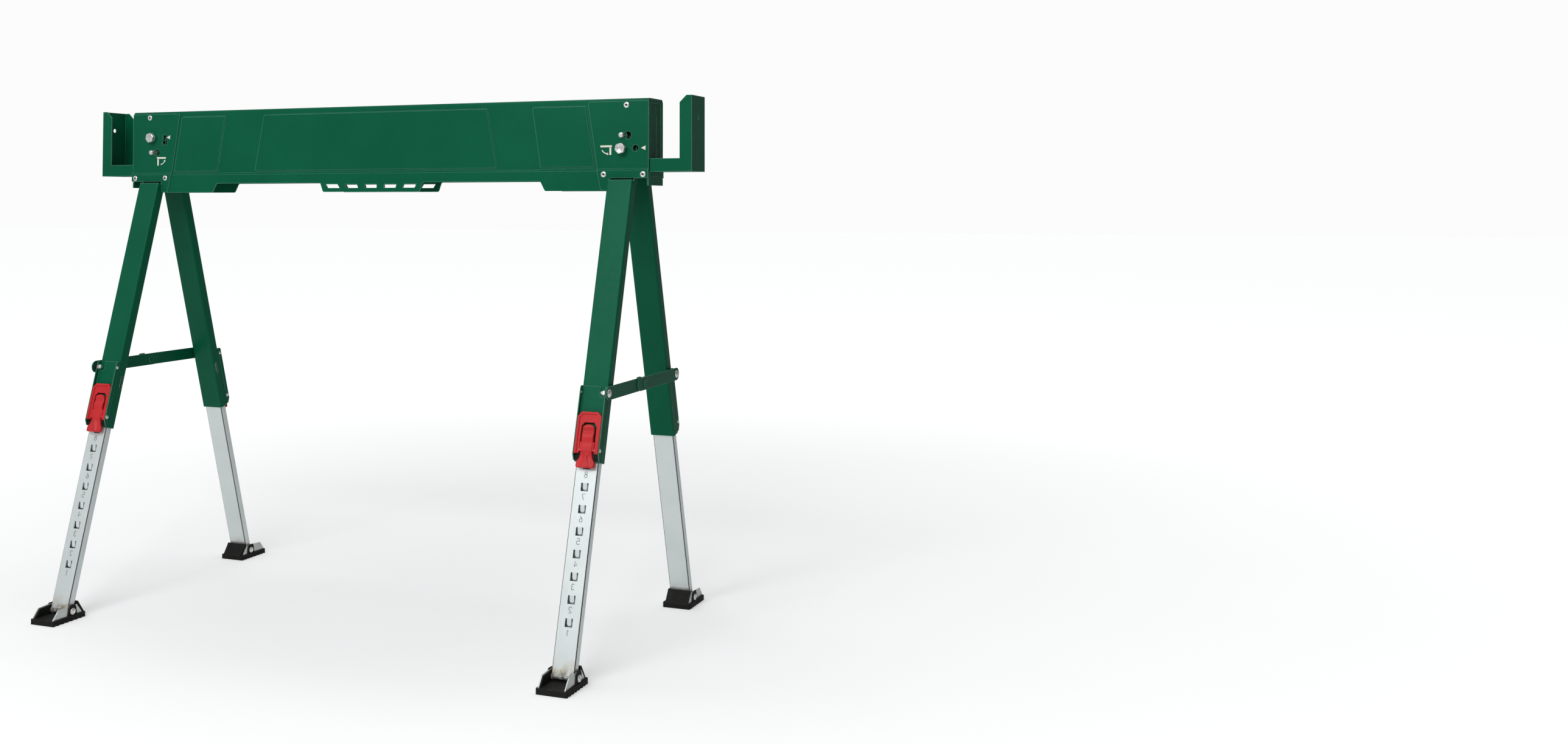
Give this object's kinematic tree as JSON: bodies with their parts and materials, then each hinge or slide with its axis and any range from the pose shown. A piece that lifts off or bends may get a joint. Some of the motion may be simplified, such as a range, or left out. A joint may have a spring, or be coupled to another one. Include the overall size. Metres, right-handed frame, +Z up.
{
  "type": "folding sawhorse",
  "caption": "Steel folding sawhorse: channel beam on splayed telescopic legs with latch levers, hinged braces, tilting feet and lift-off timber brackets.",
  "frame": {"origin": "on the floor, midway between the four feet, below the middle of the beam", "axes": "+X along the beam towards the end with the higher lock pin, -Y to the front side with the lock pins, +Z up"},
  "size_m": [1.1072, 0.504, 0.8156],
  "materials": {
    "green_paint": "satin powder coat",
    "red_plastic": "semi-gloss moulded",
    "zinc_plate": "zinc plated",
    "black_rubber": "matt moulded",
    "nylon": "matt",
    "zinc_fastener": "bright zinc",
    "cream_print": "pad-printed symbols"
  },
  "bodies": {
    "beam": {"beam_shell": "green_paint", "side_plate_front_left": "green_paint", "side_plate_back_left": "green_paint", "side_plate_front_right": "green_paint", "side_plate_back_right": "green_paint", "plate_rivets": "zinc_fastener", "end_plate_left": "green_paint", "end_plate_right": "green_paint", "yoke_left": "green_paint", "yoke_right": "green_paint", "fold_bolts": "zinc_fastener", "hinge_pins": "zinc_fastener"},
    "lock_pin_left": {"lock_pin_left": "zinc_fastener"},
    "l_bracket_left": {"l_bracket_left": "green_paint"},
    "lock_pin_right": {"lock_pin_right": "zinc_fastener"},
    "l_bracket_right": {"l_bracket_right": "green_paint"},
    "leg_front_left": {"leg_tube_front_left": "green_paint", "latch_housing_front_left": "green_paint", "latch_frame_front_left": "red_plastic", "leg_fasteners_front_left": "zinc_fastener", "glide_front_left": "nylon"},
    "lever_front_left": {"latch_lever_front_left": "red_plastic"},
    "lower_leg_front_left": {"lower_tube_front_left": "zinc_plate"},
    "foot_front_left": {"foot_bracket_front_left": "zinc_plate", "foot_pad_front_left": "black_rubber", "foot_bolt_front_left": "zinc_fastener"},
    "brace_front_left": {"brace_strap_front_left": "green_paint"},
    "leg_front_right": {"leg_tube_front_right": "green_paint", "latch_housing_front_right": "green_paint", "latch_frame_front_right": "red_plastic", "leg_fasteners_front_right": "zinc_fastener", "glide_front_right": "nylon"},
    "lever_front_right": {"latch_lever_front_right": "red_plastic"},
    "lower_leg_front_right": {"lower_tube_front_right": "zinc_plate"},
    "foot_front_right": {"foot_bracket_front_right": "zinc_plate", "foot_pad_front_right": "black_rubber", "foot_bolt_front_right": "zinc_fastener"},
    "brace_front_right": {"brace_strap_front_right": "green_paint"},
    "leg_back_left": {"leg_tube_back_left": "green_paint", "latch_housing_back_left": "green_paint", "latch_frame_back_left": "red_plastic", "leg_fasteners_back_left": "zinc_fastener", "glide_back_left": "nylon"},
    "lever_back_left": {"latch_lever_back_left": "red_plastic"},
    "lower_leg_back_left": {"lower_tube_back_left": "zinc_plate"},
    "foot_back_left": {"foot_bracket_back_left": "zinc_plate", "foot_pad_back_left": "black_rubber", "foot_bolt_back_left": "zinc_fastener"},
    "brace_back_left": {"brace_strap_back_left": "green_paint"},
    "leg_back_right": {"leg_tube_back_right": "green_paint", "latch_housing_back_right": "green_paint", "latch_frame_back_right": "red_plastic", "leg_fasteners_back_right": "zinc_fastener", "glide_back_right": "nylon"},
    "lever_back_right": {"latch_lever_back_right": "red_plastic"},
    "lower_leg_back_right": {"lower_tube_back_right": "zinc_plate"},
    "foot_back_right": {"foot_bracket_back_right": "zinc_plate", "foot_pad_back_right": "black_rubber", "foot_bolt_back_right": "zinc_fastener"},
    "brace_back_right": {"brace_strap_back_right": "green_paint"}
  },
  "joints": [
    {"name": "lock_pin_left_press", "type": "slide", "parent": "beam", "child": "lock_pin_left", "axis": [0, 1, 0], "range_m": [0, 0.005], "stiffness_N_per_m": 1200, "springref_m": -0.004},
    {"name": "l_bracket_left_lift", "type": "slide", "parent": "beam", "child": "l_bracket_left", "axis": [0, 0, 1], "range_m": [0, 0.0075]},
    {"name": "lock_pin_right_press", "type": "slide", "parent": "beam", "child": "lock_pin_right", "axis": [0, 1, 0], "range_m": [0, 0.005], "stiffness_N_per_m": 1200, "springref_m": -0.004},
    {"name": "l_bracket_right_lift", "type": "slide", "parent": "beam", "child": "l_bracket_right", "axis": [0, 0, 1], "range_m": [0, 0.0075]},
    {"name": "close_legs_left", "type": "hinge", "parent": "beam", "child": "leg_front_left", "pos_m": [-0.442, -0.0095, 0.7557], "axis": [1, 0, 0], "range_deg": [0, 13.6]},
    {"name": "brace_front_left_fold", "type": "hinge", "parent": "leg_front_left", "child": "brace_front_left", "pos_m": [-0.466, -0.12382, 0.38638], "axis": [1, 0, 0], "range_deg": [0, 61]},
    {"name": "height_front_left", "type": "slide", "parent": "leg_front_left", "child": "lower_leg_front_left", "axis": [0, 0.2644, 0.9644], "range_m": [0, 0.212]},
    {"name": "lever_front_left", "type": "hinge", "parent": "leg_front_left", "child": "lever_front_left", "pos_m": [-0.442, -0.14493, 0.3086], "axis": [-1, 0, 0], "range_deg": [0, 5.5], "stiffness_Nm_per_rad": 1.5, "springref_deg": -8.59},
    {"name": "foot_front_left_tilt", "type": "hinge", "parent": "lower_leg_front_left", "child": "foot_front_left", "pos_m": [-0.442, -0.21265, 0.01412], "axis": [-1, 0, 0], "range_deg": [0, 100]},
    {"name": "close_legs_right", "type": "hinge", "parent": "beam", "child": "leg_front_right", "pos_m": [0.442, -0.0095, 0.7557], "axis": [1, 0, 0], "range_deg": [0, 13.6]},
    {"name": "brace_front_right_fold", "type": "hinge", "parent": "leg_front_right", "child": "brace_front_right", "pos_m": [0.466, -0.12382, 0.38638], "axis": [1, 0, 0], "range_deg": [0, 61]},
    {"name": "height_front_right", "type": "slide", "parent": "leg_front_right", "child": "lower_leg_front_right", "axis": [0, 0.2644, 0.9644], "range_m": [0, 0.212]},
    {"name": "lever_front_right", "type": "hinge", "parent": "leg_front_right", "child": "lever_front_right", "pos_m": [0.442, -0.14493, 0.3086], "axis": [-1, 0, 0], "range_deg": [0, 5.5], "stiffness_Nm_per_rad": 1.5, "springref_deg": -8.59},
    {"name": "foot_front_right_tilt", "type": "hinge", "parent": "lower_leg_front_right", "child": "foot_front_right", "pos_m": [0.442, -0.21265, 0.01412], "axis": [-1, 0, 0], "range_deg": [0, 100]},
    {"name": "close_back_leg_left", "type": "hinge", "parent": "beam", "child": "leg_back_left", "pos_m": [-0.442, 0.0095, 0.7557], "axis": [1, 0, 0], "range_deg": [-13.7, 0]},
    {"name": "brace_back_left_fold", "type": "hinge", "parent": "leg_back_left", "child": "brace_back_left", "pos_m": [-0.466, 0.12382, 0.38638], "axis": [1, 0, 0], "range_deg": [-61, 0]},
    {"name": "height_back_left", "type": "slide", "parent": "leg_back_left", "child": "lower_leg_back_left", "axis": [0, -0.2644, 0.9644], "range_m": [0, 0.212]},
    {"name": "lever_back_left", "type": "hinge", "parent": "leg_back_left", "child": "lever_back_left", "pos_m": [-0.442, 0.14493, 0.3086], "axis": [1, 0, 0], "range_deg": [0, 5.5], "stiffness_Nm_per_rad": 1.5, "springref_deg": -8.59},
    {"name": "foot_back_left_tilt", "type": "hinge", "parent": "lower_leg_back_left", "child": "foot_back_left", "pos_m": [-0.442, 0.21265, 0.01412], "axis": [1, 0, 0], "range_deg": [0, 100]},
    {"name": "close_back_leg_right", "type": "hinge", "parent": "beam", "child": "leg_back_right", "pos_m": [0.442, 0.0095, 0.7557], "axis": [1, 0, 0], "range_deg": [-13.7, 0]},
    {"name": "brace_back_right_fold", "type": "hinge", "parent": "leg_back_right", "child": "brace_back_right", "pos_m": [0.466, 0.12382, 0.38638], "axis": [1, 0, 0], "range_deg": [-61, 0]},
    {"name": "height_back_right", "type": "slide", "parent": "leg_back_right", "child": "lower_leg_back_right", "axis": [0, -0.2644, 0.9644], "range_m": [0, 0.212]},
    {"name": "lever_back_right", "type": "hinge", "parent": "leg_back_right", "child": "lever_back_right", "pos_m": [0.442, 0.14493, 0.3086], "axis": [1, 0, 0], "range_deg": [0, 5.5], "stiffness_Nm_per_rad": 1.5, "springref_deg": -8.59},
    {"name": "foot_back_right_tilt", "type": "hinge", "parent": "lower_leg_back_right", "child": "foot_back_right", "pos_m": [0.442, 0.21265, 0.01412], "axis": [1, 0, 0], "range_deg": [0, 100]}
  ],
  "couplings": [
    {"joint": "brace_front_left_fold", "follows": "close_legs_left", "ratio": 4.4537},
    {"joint": "brace_front_right_fold", "follows": "close_legs_right", "ratio": 4.4537},
    {"joint": "close_back_leg_left", "follows": "close_legs_left", "ratio": -1},
    {"joint": "brace_back_left_fold", "follows": "close_legs_left", "ratio": -4.4537},
    {"joint": "close_back_leg_right", "follows": "close_legs_right", "ratio": -1},
    {"joint": "brace_back_right_fold", "follows": "close_legs_right", "ratio": -4.4537}
  ]
}
